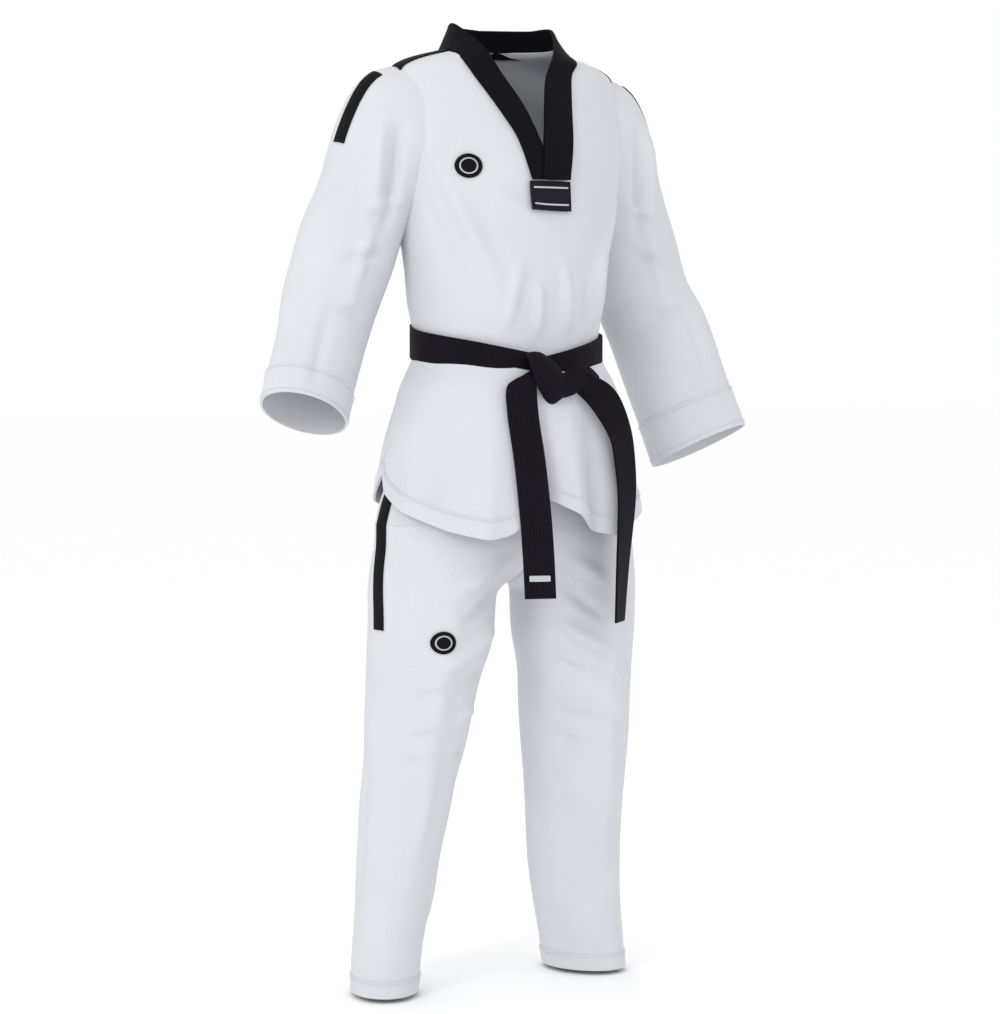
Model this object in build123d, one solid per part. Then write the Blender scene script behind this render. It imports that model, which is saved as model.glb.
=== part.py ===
from build123d import *
from math import cos, pi, sin
import os

# Martial arts uniform, laid out as it stands on a wearer: V-neck jacket, tied belt, trousers.
# Millimetres. +Z is up, the front faces -Y, and the wearer's right is -X.
# Heights are written up from the trouser hems; the finished solids are then lowered, so that
# the origin is at the middle of the trouser waist.

# ---- driving sizes ----
WAIST_HEIGHT = 975.0      # hems to the top of the waistband
CLOTH = 2.5               # wall of a stand-in cloth shell
FIT_GAP = 0.4             # air between a trim and the cloth it is sewn on
TRIM = 1.2                # tape, badge and label thickness
SWING_GAP = 2.5           # air between bodies that turn in one another
FOLD_GAP = 3.0            # air along a fold line
ARMHOLE_GAP = 1.5         # air between a sleeve and the jacket's trunk
BALL_LAP = 1.0            # a tube starts this far inside the round cap it grows from

# jacket
BELT_WIDTH = 45.0
BELT_THICK = 2.0
BELT_HEIGHT = 940.0       # middle of the belt at the wearer's side
BELT_TILT = 15.6          # the belt dips at the front
TAIL_THICK = 3.0          # a hanging belt end
TAIL_TURN = (-18.0, 31.0)  # how far the right and left ends turn from facing forward
BAR_SIZE = (30.0, 8.0)    # rank bar on the right end
BAR_RISE = 26.0           # from the end's tip up to the bar
KNOT_WRAP = (37.5, 41.0, 56.0)
KNOT_LOOP = (47.0, 45.0, 36.0)
KNOT_SINK = 10.0          # the knot's blocks start this far behind the jacket's front
KNOT_DROP = 38.0          # the knot's middle hangs this far below the belt at the side
KNOT_ROUND = 9.0
KNOT_SPLIT = 6.75         # x where the knot's two turns meet
COLLAR_HEIGHT = 34.0
COLLAR_WALL = 4.0
LAPEL_WIDTH = 36.0
NECK_POINT = 1221.0       # bottom of the V
NECK_HALF = 62.0          # half width of the V at the top
NECK_BEND = (30.0, 62.0)  # where the V opens wider: out from the middle, up from its point
COLLAR_LEAN = 2.0         # the collar's top sits this far back
COLLAR_TAPER = 3.0        # and is this much smaller
COLLAR_FRONT = -12.0      # y where the standing part ends and the lapels begin
LAPEL_END = 1178.0
LABEL_SIZE = (66.0, 41.0)
TAPE_WIDTH = 24.0
TAPE_LINE = 22.0          # y of the shoulder tape's middle
BADGE_RADIUS = 17.0
CHEST_BADGE = (-112.0, 1197.0)
HEM_BAND = 20.0
HEM_WALL = 1.0

# sleeves, given for the wearer's left; the right one mirrors the shoulder and elbow
SHOULDER = (190.0, 28.0, 1250.0)
SHOULDER_RADIUS = 66.0
ELBOW = (257.0, 43.0, 1040.0)
ELBOW_RADIUS = 62.0
ELBOW_RISE = 44.0         # the upper sleeve stops this far above the elbow
CUFF_RIGHT = (322.0, 12.0, 852.0)
CUFF_LEFT = (342.0, 14.0, 792.0)
CUFF_HALF = (73.0, 50.0)
CUFF_TURN = -30.0
CUFF_LEAN = (0.0, 60.0, 60.0)  # tips the cuff's mouth forward
CUFF_BAND = 25.0
FOREARM_HALF = (66.0, 56.0)
FOREARM_TURN = -15.0
ELBOW_CUT = 10.0          # the lower sleeve's round top stops this far below the upper sleeve's end
SLEEVE_TAPE_RISE = 18.0   # the tape ends this far above the shoulder's centre

# trousers
HIP = (113.0, 10.0, 640.0)
HIP_RADIUS = 91.0
SEAT_BOTTOM = 681.0
LEG_DROP = 11.0           # the leg's round top is cut this far below the seat
LEG_LENGTH = 640.0        # from the hip's centre down to the hem
KNEE = (129.0, 32.0, 430.0)
KNEE_RADIUS = 78.0
KNEE_RISE = 68.0          # the upper leg stops this far above the knee
KNEE_CUT = 8.0            # the lower leg's round top stops this far below the upper leg's end
ANKLE = (166.0, 65.0, HIP[2] - LEG_LENGTH)
CALF = (0.35, 68.0, 77.0)  # share of the way from knee to hem, half width, half depth
SHIN = (0.65, 57.0, 69.0)
ANKLE_HALF = (52.0, 67.0)
TOE_OUT = 20.0
LEG_BAND = 25.0
WAISTBAND_HEIGHT = 40.0
WAISTBAND_WALL = 6.0
ELASTIC = (2.0, 30.0)
EYELET = (4.0, 2.2, 1.2)  # outer radius, inner radius, thickness
EYELET_SPACING = 28.0
GUSSET_WIDTH = 30.0
GUSSET_BOTTOM = 603.0
SIDE_TAPE_TOP = 735.0
SIDE_TAPE_BOTTOM = 540.0
SIDE_TAPE_RISE = 20.0     # the leg's tape starts this far above the hip's centre
THIGH_BADGE = (-153.0, 526.0)

# the cloth's outer shape: height, half width, front y, back y
JACKET = [
    (660, 212, -146, 142),
    (730, 200, -138, 136),
    (800, 177, -124, 124),
    (850, 156, -113, 113),
    (890, 140, -105, 105),
    (1000, 141, -106, 106),
    (1060, 154, -114, 112),
    (1120, 166, -121, 118),
    (1180, 176, -116, 122),
    (NECK_POINT, 183, -107, 122),
    (1262, 186, -94, 118),
    (1300, 178, -80, 108),
    (1330, 152, -68, 98),
    (1352, 112, -60, 86),
    (1372, 82, -52, 74),
]
SEAT = [
    (SEAT_BOTTOM, 204, -103, 110),
    (720, 188, -104, 114),
    (760, 170, -105, 114),
    (800, 154, -103, 112),
    (850, 140, -100, 104),
    (880, 132, -97, 98),
    (935, 128, -95, 95),
    (WAIST_HEIGHT, 126, -93, 93),
]
COLLAR_BASE = JACKET[-1][0]
BIG = 400.0


def oval(centre, half_x, half_y, grow=0.0, turn=0.0, normal=(0, 0, 1)):
    """One closed section of a tube, at centre, facing along normal."""
    rx = half_x + grow
    ry = half_y + grow
    steps = [2 * pi * i / 16 for i in range(16)]
    edge = Spline(*[(rx * cos(t), ry * sin(t)) for t in steps], periodic=True)
    across = Vector(cos(turn * pi / 180), sin(turn * pi / 180), 0)
    up = Vector(*normal).normalized()
    across = (across - up * across.dot(up)).normalized()
    return Plane(origin=centre, x_dir=across, z_dir=up) * make_face(edge)


def garment(rows, grow=0.0):
    """The solid inside a garment's surface, from its rows of height, half width, front and back."""
    faces = []
    for z, half, front, back in rows:
        faces.append(oval((0, (front + back) / 2, z), half, (back - front) / 2, grow))
    return loft(faces, ruled=True)


def shell(solid_at):
    """A cloth wall: the solid less the same solid one cloth thickness smaller."""
    return solid_at(0.0) - solid_at(-CLOTH)


def prism(points, y_low, y_high):
    """An outline drawn in x and z, running from y_low to y_high."""
    face = Plane.XZ * make_face(Polyline(*points, close=True))
    return Pos(0, y_high, 0) * extrude(face, amount=y_high - y_low)


def block(x_low, x_high, y_low, y_high, z_low, z_high):
    size = (x_high - x_low, y_high - y_low, z_high - z_low)
    middle = ((x_low + x_high) / 2, (y_low + y_high) / 2, (z_low + z_high) / 2)
    return Pos(*middle) * Box(*size)


def place(point, side):
    return (side * point[0], point[1], point[2])


def jacket(grow=0.0):
    return garment(JACKET, grow)


def jacket_front(height):
    """The jacket's front y at the middle, at a height."""
    for low, high in zip(JACKET, JACKET[1:]):
        if low[0] <= height <= high[0]:
            share = (height - low[0]) / (high[0] - low[0])
            return low[2] + (high[2] - low[2]) * share
    raise ValueError("this height is off the jacket")


def layer(solid_at, low, high):
    """The space between two offsets of a surface, where trims lie."""
    return solid_at(high) - solid_at(low)


def save(name, shape):
    """Write one piece, lowered so that the origin is at the waist."""
    export_step(Pos(0, 0, -WAIST_HEIGHT) * shape, f"parts/{name}.step")


# ---- fold lines and hems, drawn from the front ----
FOLD_FRONT = [(90, BELT_HEIGHT - 54), (172, 806), (230, 790)]
FOLD_BACK = [(90, BELT_HEIGHT + 3), (172, 840), (230, 820)]
HEM_FRONT = [(206, 735), (197, 722), (165, 679), (69, 669), (0, 730)]
HEM_BACK = [(206, 775), (202, 740), (176, 702), (0, 698)]


def flap_outline(fold, hem):
    half = [fold[0], fold[1]] + hem
    return half + [(-x, z) for x, z in reversed(half) if x > 0]


def hem_outline(hem):
    lower = hem[1:] + [(-x, z) for x, z in reversed(hem[1:]) if x > 0]
    upper = [(x, z + HEM_BAND) for x, z in reversed(lower)]
    return lower + upper


def body_outline(fold):
    right = [(BIG, BIG * 4), (BIG, fold[2][1] + FOLD_GAP)]
    right += [(x, z + FOLD_GAP) for x, z in reversed(fold)]
    return right + [(-x, z) for x, z in reversed(right)]


def shoulder_ball(side, radius):
    return Pos(*place(SHOULDER, side)) * Sphere(radius)


def armholes():
    radius = SHOULDER_RADIUS + SWING_GAP
    return shoulder_ball(1, radius) + shoulder_ball(-1, radius)


def neck_outline(margin=0.0):
    half = NECK_HALF + margin
    drop = NECK_POINT - margin
    out, rise = NECK_BEND
    right = [(0, drop), (out + margin, drop + rise), (half, BIG * 4)]
    return right + [(-half, BIG * 4), (-out - margin, drop + rise)]


def build_jacket():
    wall = shell(jacket)
    front = wall & prism(body_outline(FOLD_FRONT), -BIG, 0)
    front = front - armholes() - prism(neck_outline(), -BIG, 0)
    save("chest_front", front)
    back = wall & prism(body_outline(FOLD_BACK), 0, BIG)
    save("chest_back", back - armholes())
    save("skirt_front", wall & prism(flap_outline(FOLD_FRONT, HEM_FRONT), -BIG, 0))
    save("skirt_back", wall & prism(flap_outline(FOLD_BACK, HEM_BACK), 0, BIG))
    band = layer(jacket, FIT_GAP, FIT_GAP + HEM_WALL)
    save("hem_front", band & prism(hem_outline(HEM_FRONT), -BIG, -1))
    save("hem_back", band & prism(hem_outline(HEM_BACK), 1, BIG))


def build_collar():
    z, half, front, back = JACKET[-1]
    low = z + FIT_GAP
    middle = (front + back) / 2
    deep = (back - front) / 2
    rows = [((0, middle, low), 0.0), ((0, middle + COLLAR_LEAN, low + COLLAR_HEIGHT), -COLLAR_TAPER)]
    outer = loft([oval(c, half, deep, g) for c, g in rows], ruled=True)
    inner = loft([oval(c, half, deep, g - COLLAR_WALL) for c, g in rows], ruled=True)
    save("collar_back", (outer - inner) & block(-BIG, BIG, COLLAR_FRONT, BIG, 0, BIG * 5))
    cover = layer(jacket, FIT_GAP, FIT_GAP + CLOTH)
    out, rise = NECK_BEND
    middle_x = FIT_GAP / 2
    inner_edge = [(NECK_HALF, COLLAR_BASE), (out, NECK_POINT + rise), (middle_x, NECK_POINT)]
    inner_edge += [(middle_x, LAPEL_END)]
    corner = LAPEL_WIDTH - 10
    outer_edge = [(corner, LAPEL_END), (LAPEL_WIDTH + 6, NECK_POINT + 17)]
    outer_edge += [(out + LAPEL_WIDTH - 3, NECK_POINT + rise - 7)]
    outer_edge += [(NECK_HALF + LAPEL_WIDTH - 7, COLLAR_BASE - 48)]
    outer_edge += [(NECK_HALF + LAPEL_WIDTH, COLLAR_BASE)]
    for name, side in (("lapel_left", 1), ("lapel_right", -1)):
        outline = [(side * x, z) for x, z in inner_edge + outer_edge]
        save(name, cover & prism(outline, -BIG, -1))


def build_jacket_trims():
    trim = layer(jacket, FIT_GAP, FIT_GAP + TRIM)
    wide, tall = LABEL_SIZE
    top = LAPEL_END - 2
    save("collar_label", trim & block(2 - wide / 2, 2 + wide / 2, -BIG, 0, top - tall, top))
    x, z = CHEST_BADGE
    disc = Pos(x, -BIG / 2, z) * Rot(90, 0, 0) * Cylinder(BADGE_RADIUS, BIG)
    save("chest_badge", trim & disc)
    y_low = TAPE_LINE - TAPE_WIDTH / 2
    for name, side in (("shoulder_tape_left", 1), ("shoulder_tape_right", -1)):
        ends = sorted([side * (NECK_HALF + LAPEL_WIDTH), side * SHOULDER[0]])
        strip = block(*ends, y_low, y_low + TAPE_WIDTH, SHOULDER[2], BIG * 4)
        save(name, (trim & strip) - shoulder_ball(side, SHOULDER_RADIUS + SWING_GAP))


def build_belt():
    slab = Pos(0, 0, BELT_HEIGHT) * Rot(BELT_TILT, 0, 0) * Box(BIG, BIG, BELT_WIDTH)
    low = FIT_GAP
    for name in ("belt_wrap_inner", "belt_wrap_outer"):
        save(name, layer(jacket, low, low + BELT_THICK) & slab)
        low += BELT_THICK + FIT_GAP
    hollow = jacket(low)
    height = BELT_HEIGHT - KNOT_DROP
    front = jacket_front(height)
    for name, side, size in (("knot_wrap", -1, KNOT_WRAP), ("knot_loop", 1, KNOT_LOOP)):
        wide, deep, tall = size
        x = KNOT_SPLIT + side * (wide + FIT_GAP) / 2
        y = front + KNOT_SINK * (1 + (side > 0)) - deep / 2
        lump = Pos(x, y, height) * Box(wide, deep, tall)
        save(name, fillet(lump.edges().filter_by(Axis.X), KNOT_ROUND) - hollow)


def strap(points, face_turn):
    """A flat belt end: centres from the top down, its width turned about the vertical."""
    across = Vector(cos(face_turn * pi / 180), sin(face_turn * pi / 180), 0)
    sections = []
    for point in points:
        level = Plane(origin=point, x_dir=across, z_dir=(0, 0, 1))
        sections.append(level * Rectangle(BELT_WIDTH, TAIL_THICK))
    return loft(sections, ruled=True)


# the hanging ends, from the knot down: x, y, and how far below the belt's height at the side
TAIL_RIGHT = [(-55, -124, 55), (-46, -147, 210), (-34, -154, 360)]
TAIL_LEFT = [(79, -124, 68), (120, -116, 140), (126, -124, 210), (126, -118, 397)]


def hang(tail):
    return [(x, y, BELT_HEIGHT - drop) for x, y, drop in tail]


def build_belt_ends():
    turn = TAIL_TURN[0]
    save("belt_tail_right", strap(hang(TAIL_RIGHT), turn))
    save("belt_tail_left", strap(hang(TAIL_LEFT), TAIL_TURN[1]))
    x, y, z = hang(TAIL_RIGHT)[-1]
    across = (cos(turn * pi / 180), sin(turn * pi / 180), 0)
    level = Plane(origin=(x, y, z + BAR_RISE), x_dir=across, z_dir=(0, 0, 1))
    wide, tall = BAR_SIZE
    off = TAIL_THICK / 2 + FIT_GAP * 2 + TRIM / 2
    save("belt_rank_bar", extrude(level * Pos(0, -off, 0) * Rectangle(wide, TRIM), amount=tall))


def upper_sleeve(side, grow=0.0):
    """The filled upper sleeve: a round shoulder cap and a tube down to just above the elbow."""
    top = Vector(*place(SHOULDER, side))
    elbow = Vector(*place(ELBOW, side))
    share = (SHOULDER[2] - ELBOW[2] - ELBOW_RISE) / (SHOULDER[2] - ELBOW[2])
    end = top + (elbow - top) * share
    tube_half = ELBOW_RADIUS + SWING_GAP + CLOTH
    rows = [(top, SHOULDER_RADIUS - BALL_LAP), (top + (end - top) * 0.5, tube_half), (end, tube_half)]
    tube = loft([oval(p, r, r, grow) for p, r in rows], ruled=True)
    return tube + shoulder_ball(side, SHOULDER_RADIUS + grow)


def lower_sleeve(side, cuff, grow=0.0):
    """The filled lower sleeve: a round elbow and a tube that opens forward at the cuff."""
    elbow = Vector(*place(ELBOW, side))
    end = Vector(*place(cuff, side))
    face = (elbow - end + Vector(*CUFF_LEAN)).normalized()
    middle = elbow + (end - elbow) * 0.5
    rows = [
        oval(elbow, ELBOW_RADIUS - BALL_LAP, ELBOW_RADIUS - BALL_LAP, grow),
        oval(middle, *FOREARM_HALF, grow, FOREARM_TURN * side, (elbow - end).normalized()),
        oval(end, *CUFF_HALF, grow, CUFF_TURN * side, face),
    ]
    return loft(rows, ruled=True) + Pos(*elbow) * Sphere(ELBOW_RADIUS + grow)


def build_sleeve(side, name, cuff):
    wall = shell(lambda grow: upper_sleeve(side, grow))
    save(f"sleeve_upper_{name}", wall - jacket(ARMHOLE_GAP))
    trim = layer(lambda grow: upper_sleeve(side, grow), FIT_GAP, FIT_GAP + TRIM)
    ends = sorted([side * SHOULDER[0], side * BIG])
    y_low = TAPE_LINE - TAPE_WIDTH / 2
    strip = block(*ends, y_low, y_low + TAPE_WIDTH, SHOULDER[2] + SLEEVE_TAPE_RISE, BIG * 4)
    save(f"sleeve_tape_{name}", (trim & strip) - jacket(ARMHOLE_GAP))
    tube = lower_sleeve(side, cuff) - lower_sleeve(side, cuff, -CLOTH)
    top = ELBOW[2] + ELBOW_RISE - ELBOW_CUT
    tube = tube & block(-BIG * 2, BIG * 2, -BIG, BIG, 0, top)
    slab = cuff_slab(side, cuff)
    save(f"sleeve_lower_{name}", tube - slab)
    save(f"cuff_hem_{name}", tube & slab)


def cuff_slab(side, cuff):
    """The space that holds the turned hem at the sleeve's mouth."""
    elbow = Vector(*place(ELBOW, side))
    end = Vector(*place(cuff, side))
    face = (elbow - end + Vector(*CUFF_LEAN)).normalized()
    level = Plane(origin=end - face * CUFF_BAND, z_dir=face)
    return extrude(level * Rectangle(BIG, BIG), amount=CUFF_BAND * 2)


def upper_leg(side, grow=0.0):
    """The filled upper leg: a round top at the hip and a tube down to just above the knee."""
    hip = Vector(*place(HIP, side))
    knee = Vector(*place(KNEE, side))
    share = (HIP[2] - KNEE[2] - KNEE_RISE) / (HIP[2] - KNEE[2])
    end = hip + (knee - hip) * share
    rows = [(hip, HIP_RADIUS - BALL_LAP), (end, KNEE_RADIUS + SWING_GAP * 2 + CLOTH)]
    tube = loft([oval(p, r, r, grow) for p, r in rows], ruled=True)
    return tube + Pos(*hip) * Sphere(HIP_RADIUS + grow)


def lower_leg(side, grow=0.0):
    """The filled lower leg: a round knee and a tube that narrows to the hem, toes out."""
    knee = Vector(*place(KNEE, side))
    ankle = Vector(*place(ANKLE, side))
    rows = [
        oval(knee, KNEE_RADIUS - BALL_LAP, KNEE_RADIUS - BALL_LAP, grow),
        oval(knee + (ankle - knee) * CALF[0], *CALF[1:], grow, TOE_OUT * side / 2),
        oval(knee + (ankle - knee) * SHIN[0], *SHIN[1:], grow, TOE_OUT * side),
        oval(ankle, *ANKLE_HALF, grow, TOE_OUT * side),
    ]
    return loft(rows, ruled=True) + Pos(*knee) * Sphere(KNEE_RADIUS + grow)


def build_leg(side, name):
    wall = shell(lambda grow: upper_leg(side, grow))
    top = SEAT_BOTTOM - LEG_DROP
    save(f"leg_upper_{name}", wall & block(-BIG, BIG, -BIG, BIG, 0, top))
    trim = layer(lambda grow: upper_leg(side, grow), FIT_GAP, FIT_GAP + TRIM)
    ends = sorted([side * HIP[0], side * BIG])
    strip = block(*ends, -TAPE_WIDTH / 2, TAPE_WIDTH / 2, SIDE_TAPE_BOTTOM, HIP[2] + SIDE_TAPE_RISE)
    save(f"side_tape_{name}", trim & strip)
    if side < 0:
        x, z = THIGH_BADGE
        disc = Pos(x, -BIG / 2, z) * Rot(90, 0, 0) * Cylinder(BADGE_RADIUS, BIG)
        save("thigh_badge", trim & disc)
    tube = lower_leg(side) - lower_leg(side, -CLOTH)
    hem = ANKLE[2]
    tube = tube & block(-BIG, BIG, -BIG, BIG, hem, KNEE[2] + KNEE_RISE - KNEE_CUT)
    save(f"leg_lower_{name}", tube & block(-BIG, BIG, -BIG, BIG, hem + LEG_BAND, BIG * 2))
    save(f"leg_hem_{name}", tube & block(-BIG, BIG, -BIG, BIG, hem, hem + LEG_BAND))


def seat(grow=0.0):
    return garment(SEAT, grow)


def build_seat():
    band_low = WAIST_HEIGHT - WAISTBAND_HEIGHT
    wall = shell(seat) & block(-BIG, BIG, -BIG, BIG, 0, band_low)
    save("seat_front", wall & block(-BIG, BIG, -BIG, 0, 0, BIG * 4))
    save("seat_back", wall & block(-BIG, BIG, 0, BIG, 0, BIG * 4))
    above = block(-BIG, BIG, -BIG, BIG, band_low, BIG * 4)
    casing = (seat() - seat(-WAISTBAND_WALL)) & above
    thick, tall = ELASTIC
    middle = (band_low + WAIST_HEIGHT) / 2
    start = -(WAISTBAND_WALL - thick) / 2
    room = layer(seat, start - thick - FIT_GAP / 2, start + FIT_GAP / 2)
    half = tall / 2 + FIT_GAP
    casing = casing - (room & block(-BIG, BIG, -BIG, BIG, middle - half, middle + half))
    elastic = layer(seat, start - thick, start)
    save("waist_elastic", elastic & block(-BIG, BIG, -BIG, BIG, middle - tall / 2, middle + tall / 2))
    save("waistband", casing)
    outer, inner, thin = EYELET
    ring = Cylinder(outer, thin) - Cylinder(inner, thin)
    y = SEAT[-1][2] - thin - FIT_GAP * 3
    half = EYELET_SPACING / 2
    pair = [Pos(x, y, middle) * Rot(90, 0, 0) * ring for x in (-half, half)]
    save("drawstring_eyelets", Compound(children=pair))
    trim = layer(seat, FIT_GAP, FIT_GAP + TRIM)
    for name, side in (("hip_tape_left", 1), ("hip_tape_right", -1)):
        ends = sorted([side * HIP[0], side * BIG])
        strip = block(*ends, -TAPE_WIDTH / 2, TAPE_WIDTH / 2, SEAT_BOTTOM, SIDE_TAPE_TOP)
        save(name, trim & strip)


def build_gusset():
    """A strip that passes between the legs and joins the seat's front and back."""
    front, back = SEAT[0][2], SEAT[0][3]
    deep = SEAT_BOTTOM - GUSSET_BOTTOM
    middle = (front + back) / 2
    half = (back - front) / 2
    bowl = extrude(Ellipse(deep, half), GUSSET_WIDTH / 2, both=True)
    bowl = Pos(0, middle, SEAT_BOTTOM) * Rot(0, 90, 0) * bowl
    room = extrude(Ellipse(deep - CLOTH, half - CLOTH), GUSSET_WIDTH, both=True)
    bowl = bowl - Pos(0, middle, SEAT_BOTTOM) * Rot(0, 90, 0) * room
    save("crotch_gusset", bowl & block(-BIG, BIG, -BIG, BIG, 0, SEAT_BOTTOM - FIT_GAP))


os.makedirs("parts", exist_ok=True)
build_jacket()
build_collar()
build_jacket_trims()
build_belt()
build_belt_ends()
build_sleeve(-1, "right", CUFF_RIGHT)
build_sleeve(1, "left", CUFF_LEFT)
build_seat()
build_gusset()
build_leg(-1, "right")
build_leg(1, "left")
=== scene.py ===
import math

import bmesh
import bpy
import numpy as np
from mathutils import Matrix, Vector


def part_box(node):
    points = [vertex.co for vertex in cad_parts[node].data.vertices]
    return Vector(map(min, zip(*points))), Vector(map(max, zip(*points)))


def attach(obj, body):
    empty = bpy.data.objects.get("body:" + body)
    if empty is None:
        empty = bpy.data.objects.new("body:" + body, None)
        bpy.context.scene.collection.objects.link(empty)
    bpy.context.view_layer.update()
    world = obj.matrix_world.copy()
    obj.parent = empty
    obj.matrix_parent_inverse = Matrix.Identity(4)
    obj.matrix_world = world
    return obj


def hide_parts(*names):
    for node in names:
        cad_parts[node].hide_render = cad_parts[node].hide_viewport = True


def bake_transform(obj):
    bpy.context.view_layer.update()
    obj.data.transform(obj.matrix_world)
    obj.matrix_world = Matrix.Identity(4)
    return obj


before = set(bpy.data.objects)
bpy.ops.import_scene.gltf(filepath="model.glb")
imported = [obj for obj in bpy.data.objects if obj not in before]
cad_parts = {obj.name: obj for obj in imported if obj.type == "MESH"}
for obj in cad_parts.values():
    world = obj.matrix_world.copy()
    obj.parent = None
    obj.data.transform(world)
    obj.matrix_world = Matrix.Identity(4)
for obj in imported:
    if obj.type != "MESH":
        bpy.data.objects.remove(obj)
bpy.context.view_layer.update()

# ---- Viewpoint, floor and light --------------------------------------------------------
# A long lens a little below the chest, turned to the wearer's right front, with broad
# soft lamps on a pale floor. Heights below are written up from the trouser hems.
WAIST = -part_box("leg_hem_right")[0][2]
SEEN_HEIGHT = 1.480
DISTANCE = 4.0
TURN = math.radians(-30)
EYE = 0.95
AIM = 0.7096
AIM_ASIDE = -0.010


def up(x, y, z):
    """A point written from the hems, in the shared frame."""
    return (x, y, z - WAIST)


scene = bpy.context.scene
camera = bpy.data.objects.new("viewpoint", bpy.data.cameras.new("viewpoint"))
scene.collection.objects.link(camera)
scene.camera = camera
camera.data.sensor_width = 36
camera.data.lens = 36 * DISTANCE / SEEN_HEIGHT
side_x, side_y = AIM_ASIDE * math.cos(TURN), AIM_ASIDE * math.sin(TURN)
camera.location = up(
    side_x + math.sin(TURN) * DISTANCE, side_y - math.cos(TURN) * DISTANCE, EYE)
drop = math.atan2(EYE - AIM, DISTANCE)
camera.rotation_euler = (math.pi / 2 - drop, 0, TURN)


def lamp(name, place, turn, size, power):
    """A soft round lamp, turned by degrees."""
    light = bpy.data.lights.new(name, "AREA")
    light.shape = "DISK"
    light.size = size
    light.energy = power
    holder = bpy.data.objects.new(name, light)
    holder.location = up(*place)
    holder.rotation_euler = [math.radians(a) for a in turn]
    scene.collection.objects.link(holder)


lamp("key", (-3.2, -1.7, 2.4), (62, 0, -62), 1.2, 30)
lamp("fill", (2.6, -2.4, 1.4), (80, 0, 47), 2.4, 4)
lamp("back", (0.8, 2.6, 2.2), (-62, 0, 17), 2.0, 8)

world = bpy.data.worlds.new("studio")
world.use_nodes = True
world.node_tree.nodes["Background"].inputs["Color"].default_value = (1, 1, 1, 1)
world.node_tree.nodes["Background"].inputs["Strength"].default_value = 1.0
scene.world = world
scene.view_settings.view_transform = "Standard"

floor_paint = bpy.data.materials.new("pale_floor")
floor_paint.use_nodes = True
paint = floor_paint.node_tree.nodes["Principled BSDF"].inputs
paint["Base Color"].default_value = (0.99, 0.99, 0.99, 1)
paint["Roughness"].default_value = 0.9
FLOOR_REACH = 30
FLOOR_DROP = 0.003
floor_corners = [up(x * FLOOR_REACH, y * FLOOR_REACH, -FLOOR_DROP)
                 for x, y in ((-1, -1), (1, -1), (1, 1), (-1, 1))]
floor_mesh = bpy.data.meshes.new("floor")
floor_mesh.from_pydata(floor_corners, [], [(0, 1, 2, 3)])
floor_mesh.materials.append(floor_paint)
floor = bpy.data.objects.new("floor", floor_mesh)
scene.collection.objects.link(floor)


# ---- White cloth ------------------------------------------------------------------------
# A light cotton and polyester cloth with a fine raised lozenge rib, bleached white with a
# cool cast. It is cut in panels, so its weave, faint unevenness and soft sheen are shared.
def group(name, ins, outs):
    """A shader group with its named inputs and outputs."""
    tree = bpy.data.node_groups.new(name, "ShaderNodeTree")
    for label, kind, value in ins:
        socket = tree.interface.new_socket(label, in_out="INPUT", socket_type=kind)
        if value is not None:
            socket.default_value = value
    for label, kind in outs:
        tree.interface.new_socket(label, in_out="OUTPUT", socket_type=kind)
    return tree, tree.nodes.new("NodeGroupInput"), tree.nodes.new("NodeGroupOutput")


def node(tree, kind, links=None, **settings):
    """One node, with its inputs linked or set."""
    made = tree.nodes.new(kind)
    for key, value in settings.items():
        setattr(made, key, value)
    for key, value in (links or {}).items():
        if isinstance(value, bpy.types.NodeSocket):
            tree.links.new(value, made.inputs[key])
        else:
            made.inputs[key].default_value = value
    return made


def math_node(tree, how, first, second=0.0):
    return node(tree, "ShaderNodeMath", {0: first, 1: second}, operation=how).outputs[0]


def weave_group():
    """Crossed ribs on the piece's own coordinates, as a height from 0 to 1."""
    tree, given, out = group("crossed_rib", [
        ("Coordinates", "NodeSocketVector", None),
        ("Thread", "NodeSocketFloat", 0.0012),
        ("Slant", "NodeSocketFloat", 1.0)],
        [("Height", "NodeSocketFloat")])
    split = node(tree, "ShaderNodeSeparateXYZ", {0: given.outputs["Coordinates"]})
    pitch = math_node(tree, "DIVIDE", math.pi, given.outputs["Thread"])
    along = math_node(tree, "ADD", split.outputs[0], split.outputs[1])
    rise = math_node(tree, "MULTIPLY", split.outputs[2], given.outputs["Slant"])
    ribs = []
    for slant in ("ADD", "SUBTRACT"):
        across = math_node(tree, slant, along, rise)
        ribs.append(math_node(tree, "SINE", math_node(tree, "MULTIPLY", across, pitch)))
    level = math_node(tree, "MULTIPLY_ADD", math_node(tree, "MULTIPLY", *ribs), 0.5)
    level.node.inputs[2].default_value = 0.5
    tree.links.new(level, out.inputs["Height"])
    return tree


def uneven_group():
    """Slow cloudy changes of tone, from 0 to 1."""
    tree, given, out = group("uneven_tone", [
        ("Coordinates", "NodeSocketVector", None),
        ("Size", "NodeSocketFloat", 9.0)],
        [("Tone", "NodeSocketFloat")])
    cloud = node(tree, "ShaderNodeTexNoise", {
        "Vector": given.outputs["Coordinates"], "Scale": given.outputs["Size"], "Detail": 5.0})
    tree.links.new(cloud.outputs["Fac"], out.inputs["Tone"])
    return tree


weave_tree = weave_group()
uneven_tree = uneven_group()


CLOUD_SHARE = 0.75
WEAVE_SHARE = 0.25


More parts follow.
